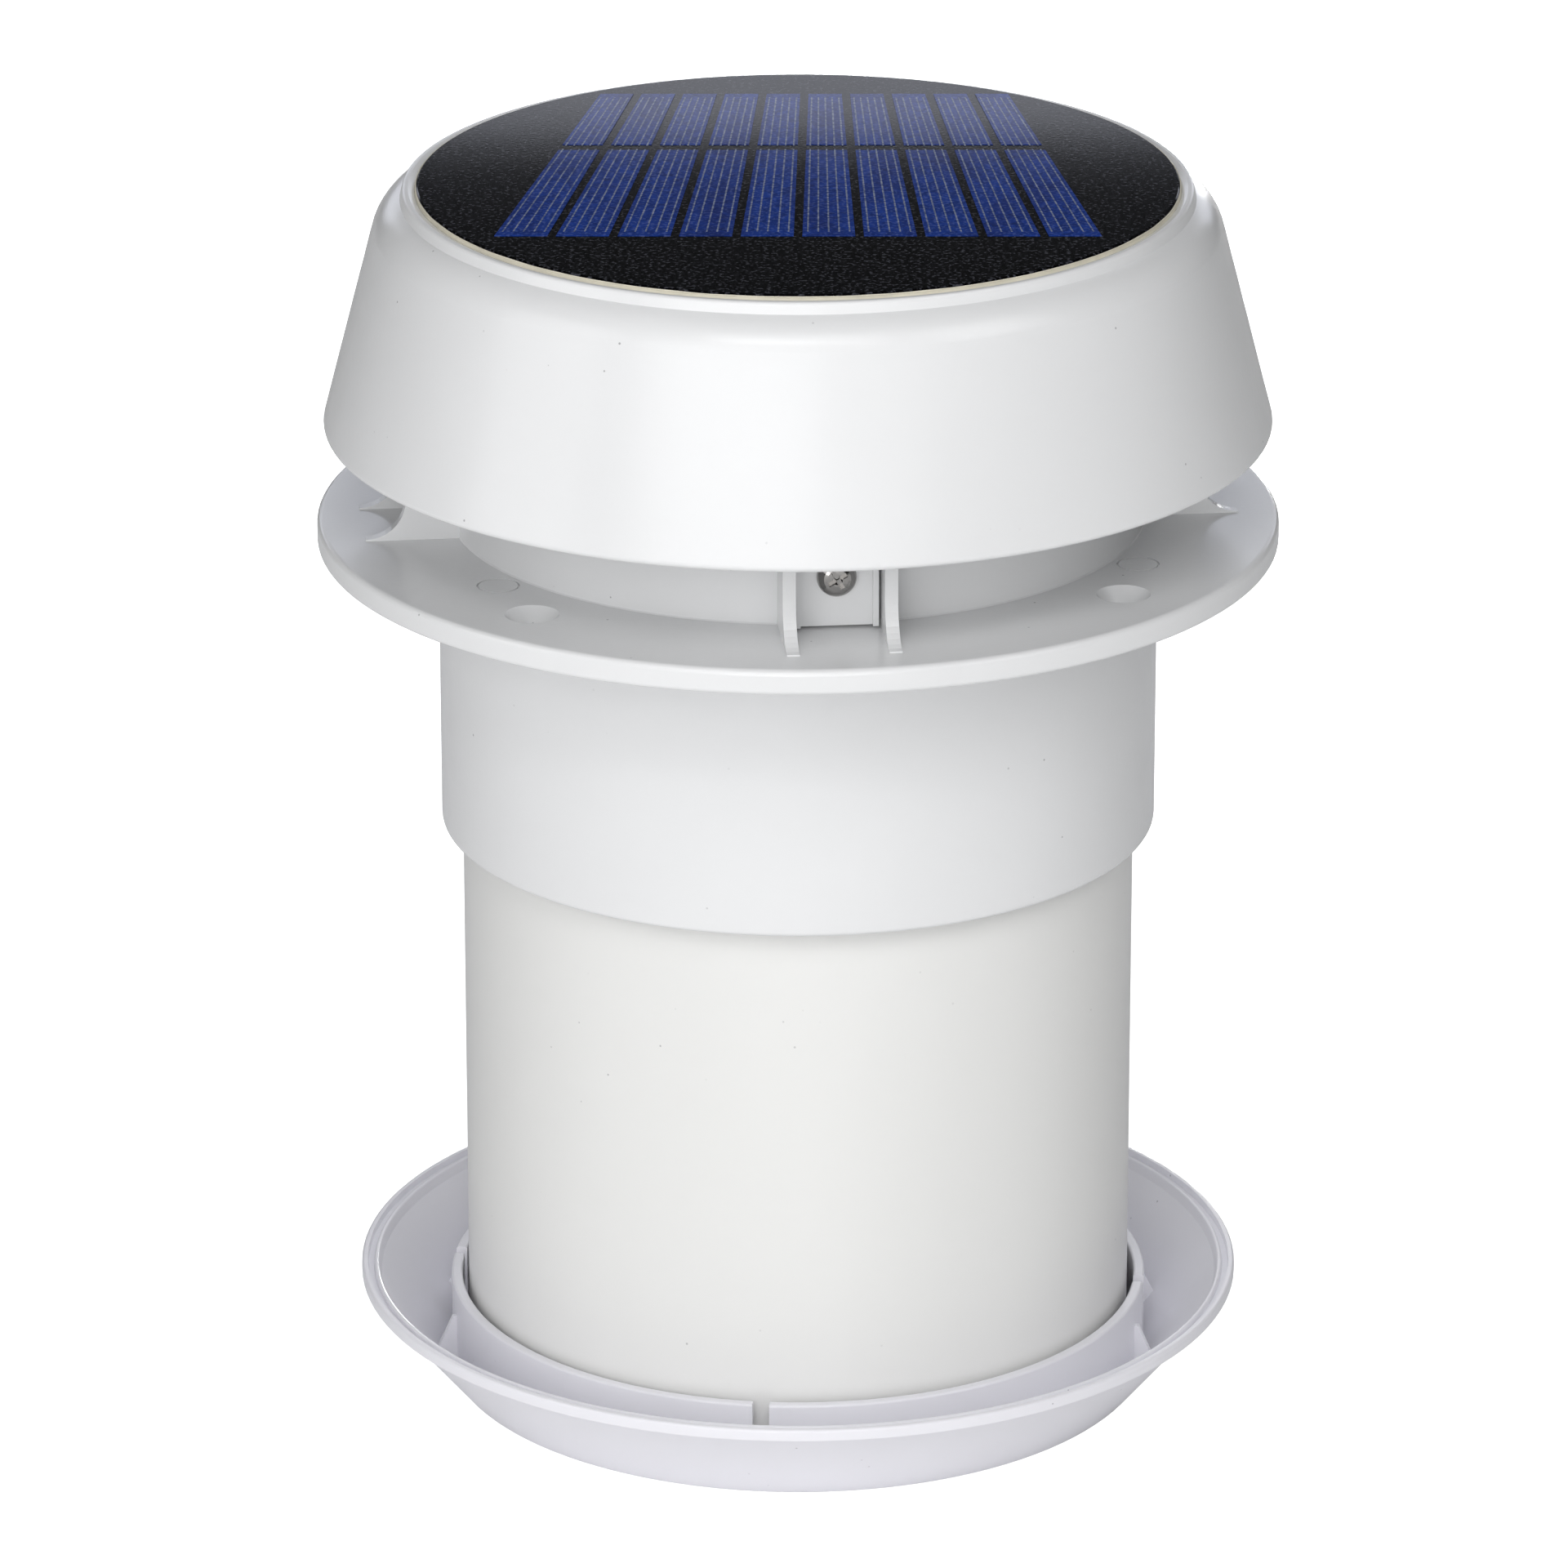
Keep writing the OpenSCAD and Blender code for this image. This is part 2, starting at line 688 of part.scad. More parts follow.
module impeller() {
    floor_top = hub_low + 2.5;
    boss_top = hub_top - 2;
    corner = 4;
    color("#2b2d31") difference() {
        union() {
            rotate_extrude() polygon(concat(
                [[0, hub_low]], arc([hub_r - corner, hub_low + corner], corner, -90, 0, 6),
                [[hub_r, hub_top], [hub_r - hub_wall, hub_top], [hub_r - hub_wall, floor_top],
                 [boss_out, floor_top], [boss_out, boss_top], [0, boss_top]]));
            for (k = [0:blades - 1]) rotate([0, 0, 360 * k / blades]) blade();
        }
        translate([0, 0, hub_low - through])
            cylinder(r = shaft_r + shaft_play, h = hub_top - hub_low + 2 * through);
    }
}

module impeller_nut() {
    nut_h = 2.4;
    flange_h = 0.55;
    color("silver") difference() {
        union() {
            translate([0, 0, hub_low - nut_h]) cylinder(r = 3.2, h = nut_h, $fn = 6);
            translate([0, 0, hub_low - flange_h - 0.05]) cylinder(r = 4, h = flange_h);
        }
        translate([0, 0, hub_low - nut_h - through])
            cylinder(r = shaft_r + shaft_play, h = nut_h + 2 * through);
    }
}

// ---------- Battery ----------

module battery_cells() {
    cap_l = 1.5;
    color("#3f8f5a") for (side = [-1, 1]) translate([-cell_l / 2, cell_y * side, cell_z])
        rotate([0, 90, 0]) {
            cylinder(r = cell_r, h = cell_l - cap_l);
            translate([0, 0, cell_l - cap_l - 0.1]) cylinder(r = 2.8, h = cap_l + 0.1);
        }
}

module battery_holder() {
    end_x = cell_l / 2 + contact_t + 0.2;
    base_w = 14;
    wall_w = 13;
    color("#26282c") for (side = [-1, 1]) translate([0, cell_y * side, 0]) {
        translate([-end_x - holder_end_t, -base_w / 2, pod_floor + 0.1])
            cube([2 * (end_x + holder_end_t), base_w, 1.5]);
        for (x = [-end_x - holder_end_t, end_x])
            translate([x, -wall_w / 2, pod_floor + 1]) cube([holder_end_t, wall_w, 12.5]);
    }
}

// End plates of both cells, and the strip that joins them at one end
module battery_contacts() {
    low = pod_floor + 4;
    left_x = -cell_l / 2 - contact_t - 0.1;
    right_x = cell_l / 2 + 0.1;
    color("silver") {
        for (x = [left_x, right_x], side = [-1, 1])
            translate([x, cell_y * side - contact_w / 2, low])
                cube([contact_t, contact_w, contact_top - low]);
        translate([left_x, -cell_y, contact_top - 3]) cube([contact_t, 2 * cell_y, 2]);
    }
}

module battery_lead(side) {
    translate([cell_l / 2 + 0.1 + contact_t / 2, cell_y * side, contact_top])
        cylinder(r = lead_r, h = board_z - contact_top);
}

module battery_lead_red() {
    color("firebrick") battery_lead(1);
}

module battery_lead_black() {
    color("#1b1c1f") battery_lead(-1);
}

// ---------- Circuit board ----------

module control_board() {
    color("#1f6b3a") difference() {
        ring(46.2, 17, board_z, board_z + board_t);
        four_corners(board_post) translate([0, 0, board_z - through])
            cylinder(r = 1, h = board_t + 2 * through);
    }
}

module board_screws() {
    color("silver") four_corners(board_post) translate([0, 0, board_z + board_t])
        pan_screw(1.9, 1.3, 0.8, 6);
}

module on_board(x, y) {
    translate([x, y, board_z + board_t]) children();
}

module board_chips() {
    color("#1b1c1f") {
        on_board(-26, 24) cube([6, 5, 1.6]);
        on_board(22, 22) cube([5, 6, 1.6]);
        on_board(-24, -30) cube([7, 4, 2.2]);
    }
}

module board_inductor() {
    color("#4a4038") on_board(-30, 0) difference() {
        cylinder(r = 5, h = 4.6);
        translate([0, 0, 0.8]) ring(4.2, 2.6, 0, 3);
    }
}

module board_capacitors() {
    color("#2f3d5c") {
        on_board(26, -26) cylinder(r = 4, h = 7);
        on_board(10, -34) cylinder(r = 3.15, h = 5.4);
    }
}

module board_connectors() {
    color("ivory") {
        on_board(-4, grommet_y - 3) cube([8, 6, connector_h]);
        on_board(30, 5) cube([5, 8, 5]);
    }
}

// ---------- Switch ----------

module switch_body() {
    bezel = [switch_size[0] + 2 * bezel_w, switch_size[1] + 2 * bezel_w, bezel_t - 0.05];
    well = [11.8, 7, 5.4];
    color("#191a1c") difference() {
        translate([switch_x, 0, pod_low]) union() {
            translate([-switch_size[0] / 2, -switch_size[1] / 2, -0.5]) cube(switch_size);
            translate([-bezel[0] / 2, -bezel[1] / 2, -bezel_t]) cube(bezel);
        }
        translate([switch_x - well[0] / 2, -well[1] / 2, pod_low - 3]) cube(well);
        translate([switch_x, 5, pivot_z]) rotate([90, 0, 0]) cylinder(r = pivot_r + 0.05, h = 10);
    }
}

module switch_leads() {
    low = pod_low + switch_size[2] - 0.5;
    color("firebrick") for (side = [-1, 1])
        translate([switch_x + 3 * side, 0, low]) cylinder(r = lead_r, h = board_z - low);
}

// Rocker, drawn level about its pivot and then tilted to its rest side
module switch_rocker() {
    pivot_l = 8.2;
    color("#8a1f1f") translate([switch_x, 0, pivot_z]) rotate([0, rocker_tilt, 0]) {
        fin([[-5.3, -2.3], [-4.6, -2.6], [0, -1.4], [4.6, -2.6], [5.3, -2.3], [5.3, 0.2],
             [2.2, 1.1], [-2.2, 1.1], [-5.3, 0.2]], rocker_w);
        translate([0, pivot_l / 2, 0]) rotate([90, 0, 0]) cylinder(r = pivot_r, h = pivot_l);
    }
}

// ---------- Duct ----------

module duct_tube() {
    duct_in = duct_r - duct_wall;
    in_edge = 0.7;
    out_edge = 1.2;
    color("#f2f1ec") rotate_extrude() polygon(concat(
        arc([duct_in + in_edge, duct_low + in_edge], in_edge, 180, 270, 3),
        arc([duct_r - out_edge, duct_low + out_edge], out_edge, -90, 0, 4),
        arc([duct_r - out_edge, duct_top - out_edge], out_edge, 0, 90, 4),
        arc([duct_in + in_edge, duct_top - in_edge], in_edge, 90, 180, 3)));
}

// ---------- Ceiling ring ----------

module ring_profile() {
    cone_top = [rim_r - 2.4, rim_z - 3.1];
    polygon(concat(
        [[ledge_in, 0]], arc([foot_r - 1, 1], 1, -90, -39, 3),
        [cone_top, [rim_r - 0.6, cone_top[1]]],
        arc([rim_r - 0.6, cone_top[1] + 0.6], 0.6, -60, 0, 3),
        arc([rim_r - 0.7, rim_z - 0.7], 0.7, 0, 90, 5),
        [[rim_r - 1.4, rim_z]],
        // groove between the two lips of the rim
        [[rim_r - 1.6, rim_z - 1.5], [rim_r - 2.9, rim_z - 1.5]],
        arc([rim_r - 3.6, rim_z - 1], 0.6, 20, 160, 5),
        [[rim_r - 4.8, rim_z - 2.9], [spigot_r + 0.3, ledge_t + 0.3], [spigot_r, ledge_t + 0.3]],
        arc([spigot_r - 0.6, spigot_h - 0.6], 0.6, 0, 90, 4),
        arc([spigot_in + 0.6, spigot_h - 0.6], 0.6, 90, 180, 4),
        [[spigot_in, ledge_t], [ledge_in, ledge_t]]));
}

module ceiling_ring() {
    color("#f4f3f7") difference() {
        union() {
            rotate_extrude($fn = 180) ring_profile();
            for (turn = rib_turns) four_times(slot_turn + turn)
                fin([[spigot_r - 1, ledge_t], [spigot_r + 0.5, ledge_t], [spigot_r + 4.6, 7.6],
                     [spigot_r + 0.9, rib_top], [spigot_r - 1, rib_top]], 1.4);
        }
        four_times(slot_turn) translate([spigot_in - 1, -slot_w / 2, 5]) cube([4.5, slot_w, spigot_h]);
        retainer_holes(0.95);
    }
}

module inlet_grille() {
    edge_top = screen_z - 0.05;
    spoke_w = 2.2;
    color("#f4f3f7") difference() {
        union() {
            ring(ledge_in - 0.3, ledge_in - 3.5, grille_low, edge_top);
            ring(retainer_r, ledge_in - 3, ledge_t + 0.05, edge_top);
            for (r = grille_rings) ring(r + 0.9, r - 0.9, grille_low, grille_low + grille_t);
            for (a = [0:30:330]) rotate([0, 0, a]) translate([5, -spoke_w / 2, grille_low])
                cube([ledge_in - 7.5, spoke_w, grille_t]);
            translate([0, 0, grille_low]) cylinder(r = 7, h = grille_t);
        }
        translate([0, 0, grille_low - through]) cylinder(r = 2.5, h = grille_t + 2 * through);
        retainer_holes(1.1);
    }
}

// Woven screen, drawn as its outer shape
module insect_screen() {
    color("#55585c") difference() {
        translate([0, 0, screen_z]) cylinder(r = retainer_r, h = screen_t);
        retainer_holes(1.1);
    }
}

module screen_retainer() {
    color("#f4f3f7") difference() {
        ring(retainer_r, retainer_r - 5, screen_z + screen_t + 0.05, retainer_top);
        retainer_holes(1.1);
    }
}

// Holes through the retainer, the screen, the grille's edge and the ledge
module retainer_holes(r) {
    four_times(slot_turn + 45) translate([retainer_screw_r, 0, -through])
        cylinder(r = r, h = retainer_top + 2 * through);
}

module retainer_screws() {
    color("silver") four_times(slot_turn + 45)
        translate([retainer_screw_r, 0, retainer_top]) pan_screw(1.7, 1.2, 0.9, 6);
}

// ---------- Nodes ----------

roof_flange();
roof_collar();
air_throat();
duct_seal();
hood();
hood_legs();
hood_screws();
panel_board();
solar_cells();
panel_seal();
lead_grommet();
panel_lead_red();
panel_lead_black();
motor_housing();
housing_gasket();
housing_screws();
motor_can();
motor_magnets();
motor_end_cap();
motor_bushes();
motor_brushes();
motor_screws();
motor_leads();
motor_shaft();
armature_core();
armature_windings();
commutator();
impeller();
impeller_nut();
battery_cells();
battery_holder();
battery_contacts();
battery_lead_red();
battery_lead_black();
control_board();
board_screws();
board_chips();
board_inductor();
board_capacitors();
board_connectors();
switch_body();
switch_leads();
switch_rocker();
duct_tube();
ceiling_ring();
inlet_grille();
insect_screen();
screen_retainer();
retainer_screws();
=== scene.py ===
"""Looks of a solar roof ventilator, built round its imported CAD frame. Metres, +Z up, front towards -Y."""

import json
import math
import random

import bmesh
import bpy
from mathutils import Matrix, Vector


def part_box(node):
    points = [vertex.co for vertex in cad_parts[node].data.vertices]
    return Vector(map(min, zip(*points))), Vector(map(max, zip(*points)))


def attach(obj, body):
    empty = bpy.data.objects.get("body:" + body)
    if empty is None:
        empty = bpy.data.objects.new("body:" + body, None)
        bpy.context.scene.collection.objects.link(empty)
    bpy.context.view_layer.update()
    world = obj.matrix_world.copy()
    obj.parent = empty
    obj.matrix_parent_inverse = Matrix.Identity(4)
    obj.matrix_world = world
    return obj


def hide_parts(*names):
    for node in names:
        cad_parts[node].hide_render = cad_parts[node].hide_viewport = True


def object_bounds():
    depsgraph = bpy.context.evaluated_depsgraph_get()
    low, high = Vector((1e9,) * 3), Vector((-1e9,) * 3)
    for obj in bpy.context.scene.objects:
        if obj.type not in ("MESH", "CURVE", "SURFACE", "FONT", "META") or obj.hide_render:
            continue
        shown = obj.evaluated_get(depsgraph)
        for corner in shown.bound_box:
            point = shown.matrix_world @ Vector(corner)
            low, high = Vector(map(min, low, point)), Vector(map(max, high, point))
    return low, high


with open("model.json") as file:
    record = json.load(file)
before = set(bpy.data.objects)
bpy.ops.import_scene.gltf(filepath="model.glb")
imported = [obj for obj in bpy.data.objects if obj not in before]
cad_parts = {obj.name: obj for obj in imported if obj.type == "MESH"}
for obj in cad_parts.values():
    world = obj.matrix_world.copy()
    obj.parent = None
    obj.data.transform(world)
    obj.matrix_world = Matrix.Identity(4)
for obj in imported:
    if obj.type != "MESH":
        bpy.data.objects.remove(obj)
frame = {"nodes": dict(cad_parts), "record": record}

CAD_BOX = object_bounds()
NODES = frame["nodes"]
MM = 0.001

# Camera: a long lens in front of the object, looking down at it
CAMERA_PLACE = Vector((0.0, -2.10047, 0.92864))
CAMERA_PITCH = math.radians(20.42)
CAMERA_LENS = 215.49
CAMERA_SHIFT = (-0.00895, 0.0)
CAMERA_SENSOR = 36.0      # width, in millimetres
CAMERA_CLIP = (0.1, 50.0)


# ---------- Node materials ----------

# Places of the colour sockets on a Mix node
MIX_FACTOR, MIX_FIRST, MIX_SECOND = 0, 6, 7
MIX_COLOUR = 2

class Surface:
    """A Principled material and the nodes that feed it."""

    def __init__(self, name, roughness, metallic=0.0):
        self.material = bpy.data.materials.new(name)
        self.material.use_nodes = True
        self.tree = self.material.node_tree
        self.shader = self.tree.nodes["Principled BSDF"]
        self.shader.inputs["Roughness"].default_value = roughness
        self.shader.inputs["Metallic"].default_value = metallic
        self.place = self.tree.nodes.new("ShaderNodeTexCoord").outputs["Object"]
        self.normal = None

    def node(self, kind, sockets=None, **settings):
        """A shader node with its settings made and its inputs fed."""
        made = self.tree.nodes.new("ShaderNode" + kind)
        for key, value in settings.items():
            setattr(made, key, value)
        for key, value in (sockets or {}).items():
            self.feed(made.inputs[key], value)
        return made

    def feed(self, socket, value):
        """Links another node's output to an input, or sets the input to a value."""
        if isinstance(value, bpy.types.NodeSocket):
            self.tree.links.new(value, socket)
        else:
            socket.default_value = value

    def scaled(self, stretch):
        """The place on the object, stretched along the axes."""
        return self.node("Mapping", {"Vector": self.place, "Scale": stretch}).outputs["Vector"]

    def noise(self, size, detail=3.0, stretch=(1, 1, 1)):
        """Noise from 0 to 1 with grains of about that size, in metres."""
        where = self.scaled(stretch)
        made = self.node("TexNoise", {"Vector": where, "Scale": 1 / size, "Detail": detail})
        return made.outputs["Fac"]

    def spots(self, spacing, radius):
        """1 in scattered round spots, 0 between them."""
        made = self.node("TexVoronoi", {"Vector": self.place, "Scale": 1 / spacing})
        return self.range(made.outputs["Distance"], radius / spacing, radius / spacing * 0.6, 0, 1)

    def range(self, value, low, high, to_low, to_high):
        """A value carried from one range over to another."""
        made = self.node("MapRange", {"Value": value, "From Min": low, "From Max": high,
                                      "To Min": to_low, "To Max": to_high})
        return made.outputs["Result"]

    def maths(self, operation, *values):
        """The result of one sum on the given values."""
        made = self.node("Math", operation=operation)
        for socket, value in zip(made.inputs, values):
            self.feed(socket, value)
        return made.outputs["Value"]

    def mix(self, factor, first, second):
        """A colour between two, the second where the factor is 1."""
        made = self.node("Mix", data_type="RGBA")
        self.feed(made.inputs[MIX_FACTOR], factor)
        self.feed(made.inputs[MIX_FIRST], first)
        self.feed(made.inputs[MIX_SECOND], second)
        return made.outputs[MIX_COLOUR]

    def colour(self, value):
        self.feed(self.shader.inputs["Base Color"], value)

    def roughness(self, value):
        self.feed(self.shader.inputs["Roughness"], value)

    def bump(self, height, depth, strength=1.0):
        """Adds relief: height runs from 0 to 1, depth is its size in metres."""
        made = self.node("Bump", {"Height": height, "Strength": strength, "Distance": depth})
        if self.normal is not None:
            self.feed(made.inputs["Normal"], self.normal)
        self.normal = made.outputs["Normal"]
        self.feed(self.shader.inputs["Normal"], self.normal)


def shade(colour, factor):
    """A colour made darker or lighter."""
    return tuple(c * factor for c in colour[:3]) + (1.0,)


DUST_GREY = (0.12, 0.12, 0.13, 1)
FILM_GRAIN = 0.0010        # size of the film's pebbles, and of the glints painted for them, in metres


def moulded(name, colour, rough, dust=0.55, streaks=(1, 1, 1)):
    """Injection-moulded plastic: faint flow tones, dust specks, uneven gloss and a fine orange peel."""
    s = Surface(name, rough)
    flow = s.range(s.noise(0.045, 1, streaks), 0.25, 0.75, 0, 1)
    tone = s.mix(flow, shade(colour, 0.985), shade(colour, 1.01))
    specks = s.maths("MULTIPLY", s.spots(0.0075, 0.00034), s.range(s.noise(0.02), 0.45, 0.6, 0, dust))
    s.colour(s.mix(specks, tone, DUST_GREY))
    s.roughness(s.range(s.noise(0.012, 3), 0.3, 0.7, rough * 0.92, rough * 1.08))
    s.bump(s.noise(0.030, 1), 0.00035, 0.35)
    s.bump(s.noise(0.0011, 2), 0.00003, 0.5)
    return s.material


def satin_metal(name, colour, rough, grain=(1, 1, 12)):
    """Metal with drawn grain, its tone uneven in random patches and dulled in patches."""
    s = Surface(name, rough, metallic=1.0)
    lines = s.noise(0.0009, 2, grain)
    s.colour(s.mix(s.noise(0.004, 3), shade(colour, 0.78), shade(colour, 1.05)))
    s.roughness(s.range(lines, 0.3, 0.7, rough * 0.7, rough * 1.4))
    s.bump(lines, 0.00002, 0.6)
    return s.material


def rubbery(name, colour, rough=0.7):
    """Rubber, cord sleeve or sealing bead: matt, faintly bloomed and finely pitted."""
    s = Surface(name, rough)
    s.colour(s.mix(s.noise(0.006, 4), shade(colour, 0.8), shade(colour, 1.2)))
    s.roughness(s.range(s.noise(0.002, 3), 0.3, 0.7, rough * 0.8, min(1.0, rough * 1.15)))
    s.bump(s.noise(0.0008, 2), 0.00006, 0.6)
    return s.material


def under_film(s):
    """Lays the pebbled clear film of the panel over a surface: all of the gloss is the film's."""
    shader = s.shader.inputs
    shader["Specular IOR Level"].default_value = 0.0
    shader["Coat Weight"].default_value = 0.6
    shader["Coat Roughness"].default_value = 0.08
    shader["Coat IOR"].default_value = 1.3
    s.bump(s.noise(0.0009, 2), 0.00002, 0.4)
    s.bump(s.noise(0.03, 1), 0.0001, 0.1)
    s.feed(shader["Coat Normal"], s.normal)


def panel_film(name):
    """Black board under pebbled film, with painted glints of the film's pebbles and a little dust."""
    s = Surface(name, 0.6)
    # Bright grains in the board's colour are painted glints of the pebbled film
    painted_glints = s.range(s.noise(FILM_GRAIN, 1), 0.52, 0.70, 0, 1)
    black = s.mix(painted_glints, (0.0004, 0.0004, 0.0006, 1), (0.060, 0.062, 0.074, 1))
    haze = s.range(s.noise(0.05, 1), 0.4, 0.75, 0, 0.15)
    s.colour(s.mix(haze, black, (0.008, 0.009, 0.013, 1)))
    under_film(s)
    return s.material


def cell_silicon(name):
    """Blue silicon in crystal patches under the film; each cell has its own tone."""
    s = Surface(name, 0.6)
    patches = s.node("TexVoronoi", {"Vector": s.place, "Scale": 600.0}).outputs["Color"]
    grey = s.node("RGBToBW", {"Color": patches}).outputs["Val"]
    blue = s.mix(grey, (0.005, 0.026, 0.170, 1), (0.012, 0.054, 0.350, 1))
    # Lighter blue grains are painted glints of the pebbled film
    painted_glints = s.range(s.noise(FILM_GRAIN, 1), 0.50, 0.72, 0, 0.8)
    blue = s.mix(painted_glints, blue, (0.08, 0.13, 0.44, 1))
    violet = s.range(s.noise(0.025, 2, (2, 0.6, 1)), 0.45, 0.7, 0, 0.35)
    s.colour(s.mix(violet, blue, (0.014, 0.014, 0.075, 1)))
    under_film(s)
    return s.material


def silver_paste(name):
    """Printed grid line, dulled where the film's grains lie over it."""
    s = Surface(name, 0.6)
    broken = s.range(s.noise(FILM_GRAIN, 1), 0.35, 0.65, 0, 1)
    s.colour(s.mix(broken, (0.07, 0.10, 0.22, 1), (0.30, 0.34, 0.46, 1)))
    under_film(s)
    return s.material


def wound_wire(name, colour, turn=0.0004):
    """Enamelled wire laid in close turns, with painted shade between the turns and painted highlight on
    them.
    """
    s = Surface(name, 0.35, metallic=0.7)
    wave = s.node("TexWave", {"Vector": s.place, "Scale": 0.16 / turn, "Distortion": 0.6},
                  wave_type="RINGS", rings_direction="Z")
    turns = wave.outputs["Fac"]
    # Darker between the turns and lighter on them: painted shade and painted highlight, laid over the
    # turns' real relief
    s.colour(s.mix(turns, shade(colour, 0.45), shade(colour, 1.2)))
    s.bump(turns, 0.0002, 0.8)
    return s.material


def solder_mask(name, colour):
    """Circuit board: copper runs that show lighter through the green mask."""
    s = Surface(name, 0.32)
    lanes = s.node("TexVoronoi", {"Vector": s.scaled((1, 1, 0)), "Scale": 160.0},
                   feature="DISTANCE_TO_EDGE", distance="MANHATTAN")
    runs = s.range(lanes.outputs["Distance"], 0.05, 0.09, 1, 0)
    s.colour(s.mix(runs, colour, shade(colour, 2.4)))
    s.bump(runs, 0.00005, 0.6)
    return s.material


def pale_floor(name):
    """Pale sheet that is lifted a little where it is seen directly, as a studio's white sweep is."""
    s = Surface(name, 0.75)
    seen = s.node("LightPath").outputs["Is Camera Ray"]
    s.feed(s.shader.inputs["Emission Color"], (1, 1, 1, 1))
    s.feed(s.shader.inputs["Emission Strength"], s.maths("MULTIPLY", seen, 0.85))
    s.colour(s.mix(s.noise(0.6, 2), (0.90, 0.90, 0.905, 1), (0.93, 0.93, 0.93, 1)))
    s.bump(s.noise(0.004, 2), 0.00004, 0.2)
    return s.material


COOL_WHITE = (0.80, 0.805, 0.812, 1)
PIPE_WHITE = (0.82, 0.82, 0.805, 1)
RING_WHITE = (0.87, 0.865, 0.91, 1)

MATERIALS = {
    "white_shell": moulded("white_shell", COOL_WHITE, 0.22),
    "duct_plastic": moulded("duct_plastic", PIPE_WHITE, 0.34, 0.5, (1, 1, 0.12)),
    "ring_plastic": moulded("ring_plastic", RING_WHITE, 0.32, 0.6),
    "housing_plastic": moulded("housing_plastic", (0.60, 0.61, 0.63, 1), 0.45),
    "panel_film": panel_film("panel_film"),
    "cell_silicon": cell_silicon("cell_silicon"),
    "panel_adhesive": rubbery("panel_adhesive", (0.74, 0.70, 0.58, 1), 0.55),
    "seal_rubber": rubbery("seal_rubber", (0.02, 0.02, 0.021, 1)),
    "bright_steel": satin_metal("bright_steel", (0.38, 0.37, 0.36), 0.10, (1, 1, 1)),
    "plain_steel": satin_metal("plain_steel", (0.55, 0.56, 0.57), 0.30),
    "magnet_ferrite": rubbery("magnet_ferrite", (0.03, 0.03, 0.032, 1), 0.6),
    "dark_plastic": moulded("dark_plastic", (0.016, 0.017, 0.019, 1), 0.42, 0.1),
    "bronze": satin_metal("bronze", (0.50, 0.32, 0.15), 0.42, (1, 1, 1)),
    "copper": satin_metal("copper", (0.72, 0.36, 0.22), 0.30),
    "enamel_wire": wound_wire("enamel_wire", (0.50, 0.20, 0.08)),
    "fan_plastic": moulded("fan_plastic", (0.022, 0.023, 0.026, 1), 0.40, 0.15),
    "battery_wrap": moulded("battery_wrap", (0.03, 0.20, 0.09, 1), 0.34, 0.2, (0.2, 1, 1)),
    "nickel": satin_metal("nickel", (0.62, 0.60, 0.56), 0.28),
    "wire_red": rubbery("wire_red", (0.42, 0.02, 0.02, 1), 0.5),
    "wire_black": rubbery("wire_black", (0.015, 0.015, 0.016, 1), 0.5),
    "board_green": solder_mask("board_green", (0.008, 0.075, 0.03, 1)),
    "chip_black": moulded("chip_black", (0.014, 0.014, 0.015, 1), 0.5, 0.1),
    "ferrite_core": rubbery("ferrite_core", (0.05, 0.043, 0.038, 1), 0.6),
    "capacitor_can": satin_metal("capacitor_can", (0.45, 0.48, 0.55), 0.3),
    "connector_ivory": moulded("connector_ivory", (0.72, 0.69, 0.56, 1), 0.4),
    "rocker_red": moulded("rocker_red", (0.36, 0.012, 0.012, 1), 0.22, 0.2),
    "screen_wire": satin_metal("screen_wire", (0.34, 0.35, 0.36), 0.38),
}


def paint_frame():
    """Gives every CAD node the material of its slot in the record."""
    for part in frame["record"]["subparts"]:
        mesh = NODES[part["node"]].data
        mesh.materials.clear()
        mesh.materials.append(MATERIALS[part["material_slot"]])


# ---------- Meshes ----------

def finish_piece(name, bm, slot, body, material=None, smooth=True):
    """Turns a bmesh into a piece that rides on a body, in its slot's material unless it has its own."""
    mesh = bpy.data.meshes.new(name)
    bmesh.ops.recalc_face_normals(bm, faces=bm.faces)
    bm.to_mesh(mesh)
    bm.free()
    for face in mesh.polygons:
        face.use_smooth = smooth
    mesh.materials.append(material or MATERIALS[slot])
    made = bpy.data.objects.new(name, mesh)
    bpy.context.scene.collection.objects.link(made)
    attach(made, body)
    return made


JOIN_DISTANCE = 0.001 * MM     # corners closer than this are one


def islands(mesh):
    """The corners of each separate solid in a mesh, front row first and from left to right."""
    bm = bmesh.new()
    bm.from_mesh(mesh)
    bmesh.ops.remove_doubles(bm, verts=bm.verts, dist=JOIN_DISTANCE)
    left = set(bm.verts)
    found = []
    while left:
        reached = [left.pop()]
        corners = []
        while reached:
            vert = reached.pop()
            corners.append(vert.co.copy())
            for edge in vert.link_edges:
                other = edge.other_vert(vert)
                if other in left:
                    left.remove(other)
                    reached.append(other)
        found.append(corners)
    bm.free()
    return sorted(found, key=lambda corners: (min(c.y for c in corners) > 0, min(c.x for c in corners)))


def add_bar(bm, start, end, width, height, chamfer):
    """A bar between two points of its foot's middle line, with chamfered top edges."""
    half = width / 2
    outline = [(-half, 0), (half, 0), (half, height - chamfer), (half - chamfer, height),
               (chamfer - half, height), (-half, height - chamfer)]
    ends = [[bm.verts.new(place + Vector((x, 0, z))) for x, z in outline] for place in (start, end)]
    count = len(outline)
    for i in range(count):
        j = (i + 1) % count
        bm.faces.new((ends[0][i], ends[0][j], ends[1][j], ends[1][i]))
    bm.faces.new(ends[0])
    bm.faces.new(list(reversed(ends[1])))


